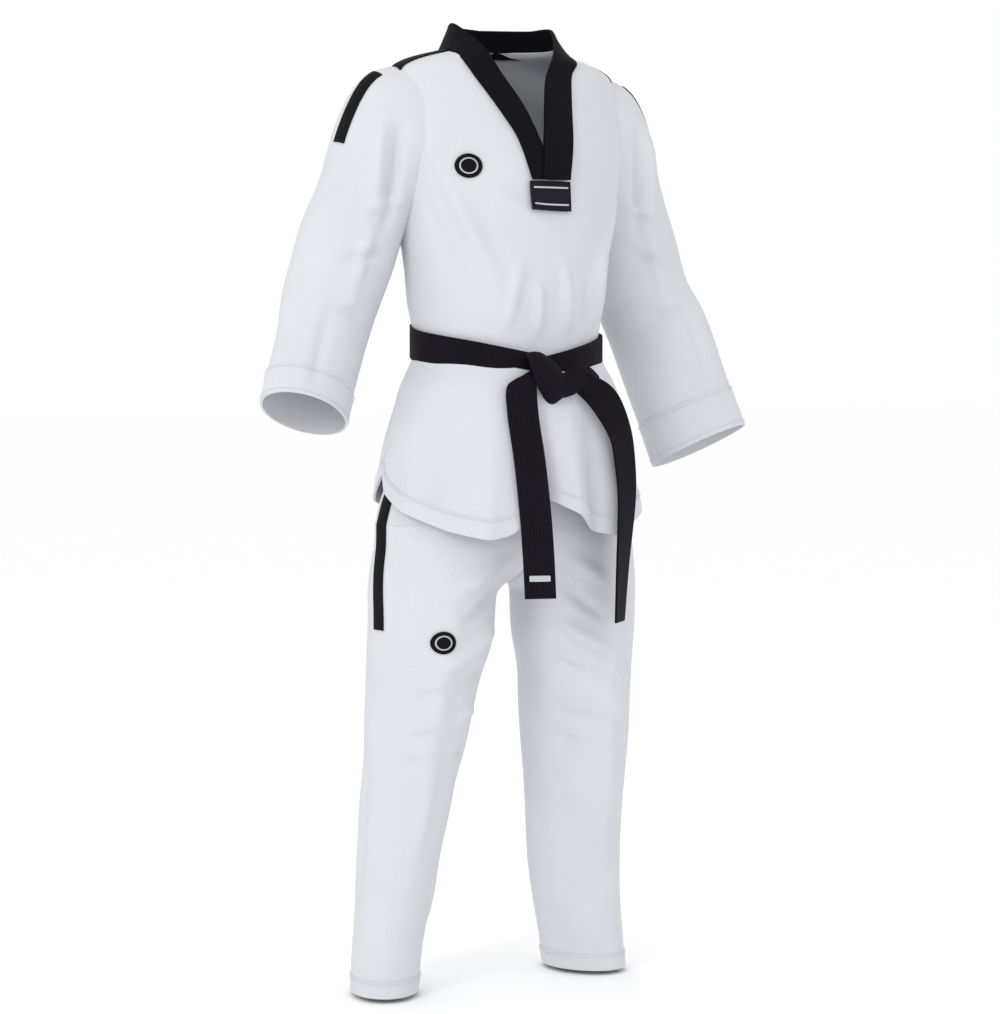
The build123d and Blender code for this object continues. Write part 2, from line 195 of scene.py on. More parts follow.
def cloth_paint(name, dark, light, thread, bump, rough, on_surface=False, ribs=0.0, size=9.0):
    """A woven finish: two close tones, a crossed rib, and optional stitched ribs along a strap; painted shade
    darkens the rib's hollows and the grooves between stitched rows.
    """
    paint = bpy.data.materials.new(name)
    paint.use_nodes = True
    tree = paint.node_tree
    shader = tree.nodes["Principled BSDF"]
    shader.inputs["Specular IOR Level"].default_value = 0.12
    place = node(tree, "ShaderNodeTexCoord")
    where = place.outputs["UV" if on_surface else "Object"]
    rib = node(tree, "ShaderNodeGroup", node_tree=weave_tree)
    tree.links.new(where, rib.inputs["Coordinates"])
    rib.inputs["Thread"].default_value = thread
    tone = node(tree, "ShaderNodeGroup", node_tree=uneven_tree)
    tree.links.new(place.outputs["Object"], tone.inputs["Coordinates"])
    tone.inputs["Size"].default_value = size
    # Painted shade: the colour mixes the cloth's cloudy tone with the rib's height, so the weave's hollows
    # are painted darker.
    mixed = math_node(tree, "MULTIPLY", tone.outputs["Tone"], CLOUD_SHARE)
    tone_and_painted_shade = math_node(tree, "MULTIPLY_ADD", rib.outputs["Height"], WEAVE_SHARE)
    tree.links.new(mixed, tone_and_painted_shade.node.inputs[2])
    height = rib.outputs["Height"]
    if ribs:
        split = node(tree, "ShaderNodeSeparateXYZ", {0: where})
        wave = math_node(tree, "SINE", math_node(tree, "MULTIPLY", split.outputs[1], 2 * math.pi / ribs))
        ridge = math_node(tree, "POWER", math_node(tree, "ABSOLUTE", wave), 0.6)
        height = math_node(tree, "ADD", math_node(tree, "MULTIPLY", height, WEAVE_SHARE), ridge)
        # Painted shade: with stitched ribs the colour is darkened further in the grooves between the rows.
        tone_and_painted_shade = math_node(tree, "MULTIPLY", tone_and_painted_shade, math_node(tree, "ADD", 0.25, ridge))
    ramp = node(tree, "ShaderNodeMix", {0: tone_and_painted_shade}, data_type="RGBA")
    ramp.inputs[6].default_value = (*dark, 1)
    ramp.inputs[7].default_value = (*light, 1)
    tree.links.new(ramp.outputs[2], shader.inputs["Base Color"])
    gloss = math_node(tree, "MULTIPLY_ADD", rib.outputs["Height"], 0.12)
    gloss.node.inputs[2].default_value = rough
    tree.links.new(gloss, shader.inputs["Roughness"])
    relief = node(tree, "ShaderNodeBump", {"Height": height, "Distance": bump, "Strength": 0.8})
    tree.links.new(relief.outputs[0], shader.inputs["Normal"])
    return paint


white_cloth = cloth_paint("white_cloth", (0.60, 0.615, 0.66), (0.70, 0.712, 0.745), 0.0016, 0.00035, 0.85)
CLOTH_THICK = 0.0022
HEM_THICK = 0.0016
HEM_RAISE = 0.0016


def smooth(keys, rows, at):
    """Values between key rows on a smooth curve through them."""
    keys = np.asarray(keys, float)
    rows = np.asarray(rows, float)
    at = np.atleast_1d(at).astype(float)
    slope = np.gradient(rows, keys, axis=0)
    i = np.clip(np.searchsorted(keys, at, side="right") - 1, 0, len(keys) - 2)
    gap = keys[i + 1] - keys[i]
    t = np.clip((at - keys[i]) / gap, 0, 1)[:, None]
    gap = gap[:, None]
    h0 = 2 * t**3 - 3 * t**2 + 1
    h1 = t**3 - 2 * t**2 + t
    h2 = -2 * t**3 + 3 * t**2
    h3 = t**3 - t**2
    return h0 * rows[i] + h1 * gap * slope[i] + h2 * rows[i + 1] + h3 * gap * slope[i + 1]


def profile(table):
    """A garment's outline by height: its heights, then half width, front and back at each."""
    return [row[0] for row in table], [row[1:] for row in table]


def shell_at(outline, angle, height):
    """The surface at an angle: 0 is the front middle, a quarter turn the wearer's left."""
    half, front, back = smooth(*outline, height).T
    middle = (front + back) / 2
    deep = (back - front) / 2
    return np.stack([half * np.sin(angle), middle - deep * np.cos(angle), height - WAIST], axis=-1)


def mirror(grid):
    return (grid * np.array([-1, 1, 1]))[:, ::-1]


def facing(grid, wrap):
    """Unit normals of a grid of points, rows by columns; wrap closes the columns into a ring."""
    down = np.gradient(grid, axis=0)
    if wrap:
        across = np.roll(grid, -1, axis=1) - np.roll(grid, 1, axis=1)
    else:
        across = np.gradient(grid, axis=1)
    normal = np.cross(down, across)
    length = np.linalg.norm(normal, axis=2, keepdims=True)
    return normal / np.maximum(length, 1e-9)


def sheet_faces(rows, columns, wrap):
    """Outer and inner faces of a closed sheet, then the narrow faces round its edges."""
    count = rows * columns
    ids = np.arange(count).reshape(rows, columns)
    following = np.roll(ids, -1, axis=1) if wrap else ids[:, 1:]
    here = ids if wrap else ids[:, :-1]
    outer = np.stack([here[:-1], here[1:], following[1:], following[:-1]], axis=-1).reshape(-1, 4)
    edges = [(here[0], following[0]), (following[-1], here[-1])]
    if not wrap:
        edges += [(ids[1:, 0], ids[:-1, 0]), (ids[:-1, -1], ids[1:, -1])]
    rim = np.concatenate([np.stack([a, b, b + count, a + count], axis=-1) for a, b in edges])
    return np.concatenate([outer, outer[:, ::-1] + count]), rim


def flat_map(grid, wrap):
    """Each point's place on the flat cloth, in metres down and across it."""
    rows, columns = grid.shape[:2]
    down = np.linalg.norm(np.diff(grid, axis=0), axis=2).mean(axis=1)
    if wrap:
        across = np.linalg.norm(np.roll(grid, -1, axis=1) - grid, axis=2).mean(axis=0)[:-1]
    else:
        across = np.linalg.norm(np.diff(grid, axis=1), axis=2).mean(axis=0)
    flat = np.zeros((rows * columns, 2))
    flat[:, 0] = np.repeat(np.concatenate([[0], np.cumsum(down)]), columns)
    flat[:, 1] = np.tile(np.concatenate([[0], np.cumsum(across)]), rows)
    return flat


def cloth(name, grid, normal, thick, paint, wrap=False):
    """A closed sheet from a grid of middle points: outer face, inner face and turned edges."""
    points = np.concatenate([(grid + normal * thick / 2).reshape(-1, 3),
                             (grid - normal * thick / 2).reshape(-1, 3)])
    broad, rim = sheet_faces(*grid.shape[:2], wrap)
    every = np.concatenate([broad, rim])
    mesh = bpy.data.meshes.new(name)
    mesh.from_pydata(points.tolist(), [], every.tolist())
    flat = flat_map(grid, wrap)
    layer = mesh.uv_layers.new(name="cloth")
    layer.data.foreach_set("uv", np.concatenate([flat, flat])[every.reshape(-1)].reshape(-1))
    smooth_normal = np.concatenate([normal.reshape(-1, 3), -normal.reshape(-1, 3)])
    corner_normal = smooth_normal[every.reshape(-1)]
    corner = points[rim]
    edge_normal = np.cross(corner[:, 2] - corner[:, 0], corner[:, 3] - corner[:, 1])
    edge_normal /= np.maximum(np.linalg.norm(edge_normal, axis=1, keepdims=True), 1e-12)
    corner_normal[broad.size:] = np.repeat(edge_normal, 4, axis=0)
    mesh.shade_smooth()
    mesh.normals_split_custom_set(corner_normal.tolist())
    mesh.materials.append(paint)
    piece = bpy.data.objects.new(name, mesh)
    scene.collection.objects.link(piece)
    return piece


def crease(grid, normal, folds):
    """Soft ridges and hollows: each fold is a line from one point to another, a width and a height."""
    moved = grid.copy()
    for start, end, width, height in folds:
        a = np.array(up(*start))
        b = np.array(up(*end))
        line = b - a
        share = np.clip(((grid - a) @ line) / (line @ line), 0, 1)
        near = a + share[..., None] * line
        gap = np.linalg.norm(grid - near, axis=2)
        fade = np.sin(np.pi * np.clip(share * 0.9 + 0.05, 0, 1)) ** 0.5
        lift = height * fade * np.exp(-((gap / width) ** 2))
        moved += normal * lift[..., None]
    return moved


RIPPLE_WAVES = 7


def ripple(grid, normal, seed, depth, size):
    """The slight unevenness of hung cloth, from a few long waves."""
    rng = np.random.default_rng(seed)
    lift = np.zeros(grid.shape[:2])
    for _ in range(RIPPLE_WAVES):
        way = rng.normal(size=3)
        way *= 2 * math.pi / (size * rng.uniform(0.6, 1.6) * np.linalg.norm(way))
        lift += np.sin(grid @ way + rng.uniform(0, 6.3))
    return grid + normal * (lift / RIPPLE_WAVES * depth)[..., None]


def edge_band(name, grid, normal, rows, wrap=False):
    """A doubled edge: the last rows of a sheet again, just outside it."""
    part = grid[-rows:] + normal[-rows:] * HEM_RAISE
    return cloth(name, part, normal[-rows:], HEM_THICK, white_cloth, wrap=wrap), part


def place_on(piece, body, slot, *nodes):
    """Fix the piece to one body, in the place of its nodes."""
    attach(piece, body)
    if nodes:
        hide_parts(*nodes)


def bend_between(piece, first, second, span, slot, *nodes):
    """Bakes the piece's transform into its mesh and hides its nodes; the piece is fixed to no body and does
    not bend.
    """
    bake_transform(piece)
    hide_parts(*nodes)


# ---- Jacket trunk -----------------------------------------------------------------------
# Front and back panels joined at the sides and shoulders, pulled in by the belt and
# bloused a little above it, with a V cut from the neck.
TRUNK = profile([
    (0.905, 0.141, -0.107, 0.107),
    (0.940, 0.138, -0.104, 0.104),
    (0.970, 0.143, -0.108, 0.110),
    (1.005, 0.150, -0.114, 0.117),
    (1.060, 0.157, -0.118, 0.121),
    (1.120, 0.167, -0.119, 0.124),
    (1.180, 0.177, -0.115, 0.126),
    (1.221, 0.183, -0.108, 0.126),
    (1.262, 0.188, -0.097, 0.123),
    (1.300, 0.188, -0.083, 0.116),
    (1.325, 0.184, -0.072, 0.108),
    (1.345, 0.168, -0.065, 0.100),
    (1.353, 0.148, -0.061, 0.096),
    (1.359, 0.126, -0.057, 0.092),
    (1.364, 0.105, -0.053, 0.090),
    (1.369, 0.090, -0.050, 0.087),
    (1.376, 0.083, -0.047, 0.083),
])
NECK_RIGHT = [(1.190, 0.0), (1.221, 0.008), (1.282, 0.036), (1.327, 0.060), (1.352, 0.072), (1.376, 0.079)]
NECK_LEFT = [(1.190, 0.0), (1.221, 0.004), (1.282, 0.018), (1.327, 0.034), (1.352, 0.054), (1.376, 0.079)]


TRUNK_FOLDS = [
    ((-0.150, -0.075, 1.190), (-0.070, -0.116, 1.010), 0.013, 0.0121),
    ((-0.172, -0.050, 1.160), (-0.110, -0.095, 0.990), 0.011, -0.0095),
    ((0.150, -0.070, 1.150), (0.080, -0.114, 1.000), 0.013, 0.0108),
    ((0.172, -0.045, 1.150), (0.120, -0.090, 0.985), 0.010, -0.0095),
    ((-0.165, -0.060, 1.290), (-0.150, -0.085, 1.160), 0.011, 0.0081),
    ((0.168, -0.055, 1.290), (0.150, -0.080, 1.140), 0.011, 0.0095),
    ((-0.120, -0.090, 1.080), (-0.100, -0.098, 0.968), 0.008, 0.0095),
    ((-0.045, -0.118, 1.060), (-0.060, -0.104, 0.968), 0.009, 0.0081),
    ((-0.015, -0.118, 1.030), (-0.010, -0.106, 0.968), 0.007, 0.0081),
    ((0.030, -0.118, 1.050), (0.040, -0.105, 0.968), 0.008, 0.0095),
    ((0.075, -0.105, 1.040), (0.070, -0.097, 0.968), 0.007, -0.0068),
    ((0.105, -0.092, 1.070), (0.095, -0.088, 0.968), 0.009, 0.0095),
    ((-0.100, -0.105, 1.170), (0.020, -0.120, 1.100), 0.014, 0.0054),
    ((-0.150, 0.070, 1.160), (-0.060, 0.120, 1.000), 0.016, 0.0108),
    ((0.150, 0.070, 1.160), (0.060, 0.120, 1.000), 0.016, 0.0108),
    ((0.000, 0.122, 1.080), (0.010, 0.110, 0.970), 0.010, 0.0095),
    ((-0.080, 0.115, 1.060), (-0.070, 0.095, 0.970), 0.009, 0.0095),
    ((0.085, 0.115, 1.060), (0.075, 0.095, 0.970), 0.009, 0.0095),
]


TRUNK_LOW, CHEST, NECK_TOP = 0.905, 1.221, 1.376


def trunk_heights():
    """Rows from the neck down, closest together where the shoulders curve in."""
    low = np.linspace(TRUNK_LOW, CHEST, 64)
    high = NECK_TOP - (NECK_TOP - CHEST) * np.linspace(1, 0, 60)[1:] ** 2
    return np.concatenate([low, high])[::-1]


def trunk_panel(start, end, columns, inner_edge=None):
    """A grid between two angles; inner_edge is the V's outline, followed instead of the middle line."""
    rows = []
    for height in trunk_heights():
        first = start
        if inner_edge:
            half = smooth(*TRUNK, height)[0][0]
            first = math.asin(min(np.interp(height, *zip(*inner_edge)) / half, 0.985))
        angles = np.linspace(first, end, columns)
        rows.append(shell_at(TRUNK, angles, np.full(columns, height)))
    return np.array(rows)


BELT_DEGREES = [0, 20, 41, 66, 90, 114, 150, 180]
BELT_HEIGHTS = [0.9075, 0.918, 0.928, 0.937, 0.944, 0.952, 0.962, 0.965]
BELT_HOLD = 0.022
BELT_FADE = 0.035


def from_front(angles):
    """How far round from the front middle, either way."""
    return np.abs((np.asarray(angles) + math.pi) % (2 * math.pi) - math.pi)


def belt_line(angles):
    """The belt's middle height: it is pulled down towards the knot at the front."""
    aside = np.degrees(from_front(angles))
    heights = np.array(BELT_HEIGHTS)[:, None]
    return smooth(BELT_DEGREES, heights, aside.reshape(-1))[:, 0].reshape(aside.shape)


def fold_trunk(grid, normal):
    """The trunk's creases and slight unevenness."""
    return ripple(crease(grid, normal, TRUNK_FOLDS), normal, 3, 0.0035, 0.16)


def shaped_trunk(grid):
    """The folded trunk, held flat under the belt."""
    moved = fold_trunk(grid, facing(grid, False))
    above_belt = grid[..., 2] + WAIST - belt_line(np.arctan2(grid[..., 0], -grid[..., 1]))
    free = np.clip((above_belt - BELT_HOLD) / BELT_FADE, 0, 1)[..., None]
    grid = grid + (moved - grid) * free
    return grid, facing(grid, False)


QUARTER = math.pi / 2
front_left = trunk_panel(0, QUARTER, 60, NECK_LEFT)
front_right = mirror(trunk_panel(0, QUARTER, 60, NECK_RIGHT))
whole_back = trunk_panel(QUARTER, 3 * QUARTER, 120)
for name, panel, node_name in (("jacket_front_left", front_left, "chest_front"),
                               ("jacket_front_right", front_right, "chest_front"),
                               ("jacket_back", whole_back, "chest_back")):
    grid, normal = shaped_trunk(panel)
    piece = cloth(name, grid, normal, CLOTH_THICK, white_cloth)
    place_on(piece, "jacket", "white_cloth", node_name)


# ---- Jacket skirt -----------------------------------------------------------------------
# The panels run on below the belt and flare, open in a vent at each side. The front hem
# rises to a notch at the middle, where one front laps the other. Hems are turned twice.
SKIRT = profile([
    (0.660, 0.208, -0.150, 0.146),
    (0.700, 0.204, -0.148, 0.144),
    (0.755, 0.196, -0.143, 0.139),
    (0.807, 0.188, -0.138, 0.132),
    (0.860, 0.174, -0.128, 0.122),
    (0.886, 0.166, -0.121, 0.117),
    (0.9125, 0.152, -0.112, 0.112),
    (0.935, 0.141, -0.106, 0.107),
    (0.985, 0.140, -0.106, 0.107),
])
FRONT_REACH = math.radians(98)
BACK_REACH = math.radians(90)
SKIRT_UNDER_BELT = 0.004
VENT_APART = 0.0016
SKIRT_HEM_ROWS = 11


def front_hem(angle):
    """Height of the front hem round from the wearer's right vent to the left one."""
    keys = np.radians([-98, -92, -74, -50, -30, -20, -4, 8, 20, 30, 46, 64, 88, 98])
    heights = [0.760, 0.736, 0.712, 0.686, 0.672, 0.680, 0.730, 0.706, 0.680, 0.672, 0.682, 0.702, 0.734,
               0.758]
    return np.interp(angle, keys, heights)


def back_hem(angle):
    """Height of the back hem round from the wearer's left vent to the right one."""
    keys = np.radians([90, 96, 112, 140, 180, 220, 248, 264, 270])
    heights = [0.800, 0.772, 0.722, 0.702, 0.698, 0.702, 0.722, 0.772, 0.800]
    return np.interp(angle, keys, heights)


def soften(values):
    """Rounds the corners of a row of values."""
    for _ in range(3):
        middle = (values[:-2] + 2 * values[1:-1] + values[2:]) / 4
        values = np.concatenate([values[:1], middle, values[-1:]])
    return values


def skirt_panel(angles, hem, seed, waves, apart):
    """A panel from the belt to its hem; each wave has a middle and width in degrees, and a depth."""
    share = np.linspace(0, 1, 90)[:, None]
    high = belt_line(angles) - SKIRT_UNDER_BELT
    height = high * (1 - share) + soften(hem(angles)) * share
    grid = np.array([shell_at(SKIRT, angles, row) for row in height])
    normal = facing(grid, False)
    lift = np.zeros(grid.shape[:2])
    for middle, width, depth in waves:
        lift += depth * np.exp(-(((angles - math.radians(middle)) / math.radians(width)) ** 2))[None, :]
    at_vent = np.clip((from_front(angles) - math.radians(70)) / 0.35, 0, 1)
    lift = lift * np.sin(share * math.pi / 2) ** 1.5 + (apart * at_vent)[None, :]
    grid = ripple(grid + normal * lift[..., None], normal, seed, 0.003, 0.14)
    return grid, facing(grid, False)


front_angles = np.linspace(-FRONT_REACH, FRONT_REACH, 160)
back_angles = np.linspace(math.pi - BACK_REACH, math.pi + BACK_REACH, 150)
FRONT_WAVES = [(-70, 9, 0.006), (-50, 7, -0.006), (-31, 6, 0.008), (-7, 5, -0.010), (8, 5, 0.010),
               (20, 5, -0.010), (33, 5, 0.010), (47, 6, -0.009), (66, 7, 0.006)]
BACK_WAVES = [(114, 9, 0.005), (136, 9, -0.006), (158, 9, 0.007), (182, 8, -0.006), (204, 9, 0.007),
              (228, 9, -0.006), (250, 9, 0.005)]
skirt_grids = {
    "front": skirt_panel(front_angles, front_hem, 5, FRONT_WAVES, VENT_APART),
    "back": skirt_panel(back_angles, back_hem, 6, BACK_WAVES, -VENT_APART),
}
SKIRT_BENDS = {
    "front": (up(0, -0.118, 0.885), up(0, -0.118, 0.790)),
    "back": (up(0, 0.112, 0.935), up(0, 0.112, 0.840)),
}
for name, (grid, normal) in skirt_grids.items():
    piece = cloth(f"skirt_{name}_cloth", grid, normal, CLOTH_THICK, white_cloth)
    bend_between(piece, "jacket", f"flap_{name}", SKIRT_BENDS[name], "white_cloth", f"skirt_{name}")
for name, (grid, normal) in skirt_grids.items():
    band, part = edge_band(f"skirt_{name}_hem", grid, normal, SKIRT_HEM_ROWS)
    place_on(band, f"flap_{name}", "white_cloth", f"hem_{name}")


# ---- Sleeves ----------------------------------------------------------------------------
# Wide set-in sleeves cut straight, which hang from the armhole and bend a little forward at
# the elbow. Each is made as one tube and parted across the upper arm.
SLEEVE = [
    ((0.140, 0.020, 1.240), (1.0, 0.0, -0.10), (0, 0, 1), 0.108, 0.070),
    ((0.178, 0.026, 1.230), (0.90, 0.0, -0.44), (0.42, 0, 0.91), 0.098, 0.072),
    ((0.206, 0.036, 1.168), (0.50, 0.05, -0.86), (0.86, 0, 0.5), 0.073, 0.070),
    ((0.245, 0.044, 1.070), (0.33, 0.02, -0.94), (0.94, -0.1, 0.33), 0.073, 0.064),
    ((0.262, 0.042, 1.020), (0.33, -0.06, -0.94), (0.93, -0.25, 0.3), 0.073, 0.061),
    ((0.284, 0.031, 0.962), (0.32, -0.20, -0.93), (0.88, -0.42, 0.25), 0.074, 0.055),
]
CUFFS = {
    "right": (-1, ((0.322, 0.012, 0.850), (0.26, -0.37, -0.89), (0.866, -0.5, 0.1), 0.074, 0.050)),
    "left": (1, ((0.346, 0.013, 0.792), (0.26, -0.37, -0.89), (0.866, -0.5, 0.1), 0.075, 0.052)),
}
SLEEVE_KEYS = [0, 1, 2, 3.4, 4.1, 5, 6.5]
SLEEVE_POINTS = 96
SLEEVE_FOLDS = [
    ((0.218, -0.038, 1.290), (0.232, -0.030, 1.150), 0.009, 0.0120),
    ((0.196, -0.040, 1.250), (0.212, -0.030, 1.110), 0.009, -0.0120),
    ((0.190, -0.030, 1.150), (0.290, -0.035, 1.125), 0.009, 0.0090),
    ((0.205, -0.020, 1.075), (0.320, -0.030, 1.060), 0.008, -0.0090),
    ((0.205, -0.025, 1.030), (0.300, -0.050, 1.000), 0.008, 0.0120),
    ((0.220, -0.015, 0.985), (0.330, -0.045, 1.005), 0.008, -0.0105),
    ((0.235, -0.020, 1.110), (0.275, -0.040, 0.950), 0.010, 0.0105),
    ((0.270, -0.030, 1.090), (0.330, -0.040, 0.900), 0.010, -0.0090),
    ((0.270, 0.080, 1.130), (0.300, 0.080, 0.950), 0.014, 0.0120),
    ((0.230, 0.100, 1.230), (0.250, 0.100, 1.060), 0.014, -0.0105),
    ((0.330, 0.020, 1.020), (0.370, 0.000, 0.880), 0.012, 0.0090),
]


def sleeve_tube(side, cuff, shares):
    """Rings of points down the sleeve. A ring starts at the underside and runs round forwards."""
    rows = SLEEVE + [cuff]
    flat = [list(c) + list(n) + list(w) + [a, b] for c, n, w, a, b in rows]
    values = smooth(SLEEVE_KEYS, flat, shares)
    turns = np.linspace(0, 2 * math.pi, SLEEVE_POINTS, endpoint=False)
    rings = []
    for row in values:
        centre, along, wide = row[0:3], row[3:6], row[6:9]
        along = along / np.linalg.norm(along)
        wide = wide - along * (wide @ along)
        wide /= np.linalg.norm(wide)
        deep = np.cross(wide, along)
        ring = centre + np.outer(np.cos(turns), wide * row[9]) + np.outer(np.sin(turns), deep * row[10])
        rings.append(ring)
    grid = np.array(rings)
    grid[..., 2] -= WAIST
    return mirror(grid) if side < 0 else grid


def mirrored_folds(folds, side):
    return [((side * a[0], *a[1:]), (side * b[0], *b[1:]), w, h) for a, b, w, h in folds]


def armhole_bend(side):
    """Where the sleeve leaves the jacket, and where it hangs with the arm."""
    return up(side * 0.184, 0.028, 1.246), up(side * 0.236, 0.040, 1.100)


def elbow_bend(side):
    """Two points on the sleeve's middle line, a little below the cut."""
    centre, along = (np.array(part) for part in SLEEVE[3][:2])
    along /= np.linalg.norm(along)
    ends = (centre + along * 0.008, centre + along * 0.090)
    return [up(side * x, y, z) for x, y, z in ends]


SLEEVE_CUT = 62
CUFF_ROWS = 16
sleeve_grids = {}
for name, (side, cuff) in CUFFS.items():
    shares = np.concatenate([np.linspace(0, 3.4, SLEEVE_CUT + 1), np.linspace(3.4, 6.5, 92)[1:]])
    grid = sleeve_tube(side, cuff, shares)
    normal = facing(grid, True)
    grid = crease(grid, normal, mirrored_folds(SLEEVE_FOLDS, side))
    grid = ripple(grid, normal, 11 + side, 0.003, 0.15)
    normal = facing(grid, True)
    sleeve_grids[name] = (grid, normal)
    upper, lower = grid[:SLEEVE_CUT + 1], grid[SLEEVE_CUT:]
    piece = cloth(f"sleeve_top_{name}", upper, normal[:SLEEVE_CUT + 1], CLOTH_THICK, white_cloth, wrap=True)
    bend_between(piece, "jacket", f"arm_upper_{name}", armhole_bend(side), "white_cloth",
                 f"sleeve_upper_{name}")
    piece = cloth(f"sleeve_end_{name}", lower, normal[SLEEVE_CUT:], CLOTH_THICK, white_cloth, wrap=True)
    bend_between(piece, f"arm_upper_{name}", f"arm_lower_{name}", elbow_bend(side), "white_cloth",
                 f"sleeve_lower_{name}")
    band, part = edge_band(f"cuff_band_{name}", grid, normal, CUFF_ROWS, wrap=True)
    place_on(band, f"arm_lower_{name}", "white_cloth", f"cuff_hem_{name}")


# ---- Trousers ---------------------------------------------------------------------------
# Straight trousers of the same cloth: a seat gathered on an elastic waistband, and two legs
# that taper to hems with the toes turned out. They are parted at the hips and mid thigh.
SEAT = profile([
    (0.690, 0.2065, -0.103, 0.112),
    (0.720, 0.198, -0.105, 0.114),
    (0.760, 0.182, -0.105, 0.114),
    (0.800, 0.164, -0.103, 0.112),
    (0.850, 0.144, -0.100, 0.104),
    (0.880, 0.132, -0.097, 0.098),
    (0.935, 0.128, -0.095, 0.095),
    (0.975, 0.126, -0.093, 0.093),
])
LEG = profile([
    (0.690, 0.1035, 0.006, 0.1035, 0.108, 0),
    (0.640, 0.1150, 0.008, 0.0950, 0.099, 0),
    (0.597, 0.1180, 0.010, 0.0925, 0.095, 0),
    (0.518, 0.1210, 0.012, 0.0890, 0.092, 6),
    (0.466, 0.1280, 0.022, 0.0810, 0.088, 18),
    (0.413, 0.1315, 0.030, 0.0765, 0.086, 25),
    (0.361, 0.1360, 0.035, 0.0720, 0.084, 25),
    (0.308, 0.1415, 0.042, 0.0670, 0.081, 25),
    (0.256, 0.1460, 0.050, 0.0630, 0.078, 25),
    (0.203, 0.1505, 0.058, 0.0590, 0.075, 25),
    (0.150, 0.1550, 0.0635, 0.0550, 0.073, 25),
    (0.098, 0.1605, 0.0655, 0.0515, 0.071, 25),
    (0.045, 0.1670, 0.0640, 0.0485, 0.068, 25),
    (0.004, 0.1705, 0.0620, 0.0480, 0.066, 25),
][::-1])
HIP_JOIN = 0.690
KNEE_CUT = 0.530
CROTCH = 0.603
SEAM_HALF = 0.0012
LEG_FOLDS = [
    ((0.030, -0.070, 0.660), (0.120, -0.090, 0.600), 0.011, 0.0120),
    ((0.020, -0.060, 0.615), (0.110, -0.085, 0.555), 0.010, -0.0105),
    ((0.040, -0.065, 0.550), (0.140, -0.080, 0.490), 0.011, 0.0120),
    ((0.060, -0.045, 0.480), (0.170, -0.055, 0.445), 0.011, -0.0105),
    ((0.065, -0.040, 0.425), (0.190, -0.045, 0.400), 0.010, 0.0120),
    ((0.075, -0.020, 0.365), (0.180, -0.035, 0.350), 0.010, -0.0090),
    ((0.135, -0.075, 0.560), (0.160, -0.050, 0.300), 0.018, 0.0090),
    ((0.150, -0.040, 0.330), (0.170, -0.020, 0.060), 0.012, 0.0120),
    ((0.120, -0.015, 0.230), (0.140, -0.010, 0.060), 0.010, -0.0075),
    ((0.110, 0.110, 0.560), (0.130, 0.120, 0.300), 0.018, 0.0120),
    ((0.080, 0.100, 0.470), (0.180, 0.110, 0.430), 0.012, -0.0120),
    ((0.100, 0.020, 0.300), (0.120, 0.040, 0.120), 0.012, 0.0090),
    ((0.190, 0.040, 0.420), (0.210, 0.060, 0.160), 0.014, -0.0105),
]


def leg_ring(height, turns):
    """One ring of the wearer's left leg. Above the crotch its inner side lies on the middle seam."""
    cx, cy, small, large, toe = smooth(*LEG, height)[0]
    ways = np.stack([np.sin(turns), -np.cos(turns)], axis=-1)
    toe = math.radians(toe)
    front = np.array([math.sin(toe), -math.cos(toe)])
    aside = np.array([math.cos(toe), math.sin(toe)])
    round_reach = 1 / np.sqrt((ways @ aside / small) ** 2 + (ways @ front / large) ** 2)
    share = np.clip((height - CROTCH + 0.02) / (HIP_JOIN - CROTCH + 0.02), 0, 1)
    share = share * share * (3 - 2 * share)
    half, low, high = smooth(*SEAT, HIP_JOIN)[0]
    middle, deep = (low + high) / 2, (high - low) / 2
    a = (ways[:, 0] / half) ** 2 + (ways[:, 1] / deep) ** 2
    b = 2 * (cx * ways[:, 0] / half**2 + (cy - middle) * ways[:, 1] / deep**2)
    c = (cx / half) ** 2 + ((cy - middle) / deep) ** 2 - 1
    seat_reach = (-b + np.sqrt(b * b - 4 * a * c)) / (2 * a)
    reach = round_reach * (1 - share) + seat_reach * share
    inner = np.where(ways[:, 0] < -1e-6, (cx - SEAM_HALF) / np.maximum(-ways[:, 0], 1e-6), 9.0)
    if height > CROTCH - 0.05:
        reach = np.minimum(reach, inner)
    points = np.array([cx, cy]) + ways * reach[:, None]
    return np.column_stack([points, np.full(len(turns), height - WAIST)])


SEAT_POINTS = 200
GATHERS = 46
CASING_ROWS = 12
seat_angles = np.linspace(0, 2 * math.pi, SEAT_POINTS, endpoint=False)
seat_heights = np.linspace(0.975, HIP_JOIN, 72)
grid = np.array([shell_at(SEAT, seat_angles, np.full(SEAT_POINTS, h)) for h in seat_heights])
gather = 0.0022 * np.sin(seat_angles * GATHERS) * np.clip((seat_heights[:, None] - 0.86) / 0.09, 0, 1)
seat_grid = grid + facing(grid, True) * gather[..., None]
seat_normal = facing(seat_grid, True)
seat = cloth("trouser_seat", seat_grid, seat_normal, CLOTH_THICK, white_cloth, wrap=True)
place_on(seat, "trousers", "white_cloth", "seat_front", "seat_back", "crotch_gusset")

casing_normal = seat_normal[:CASING_ROWS]
casing_grid = seat_grid[:CASING_ROWS] + casing_normal * 0.002
casing = cloth("waist_casing", casing_grid, casing_normal, 0.0024, white_cloth, wrap=True)
place_on(casing, "trousers", "white_cloth", "waistband")

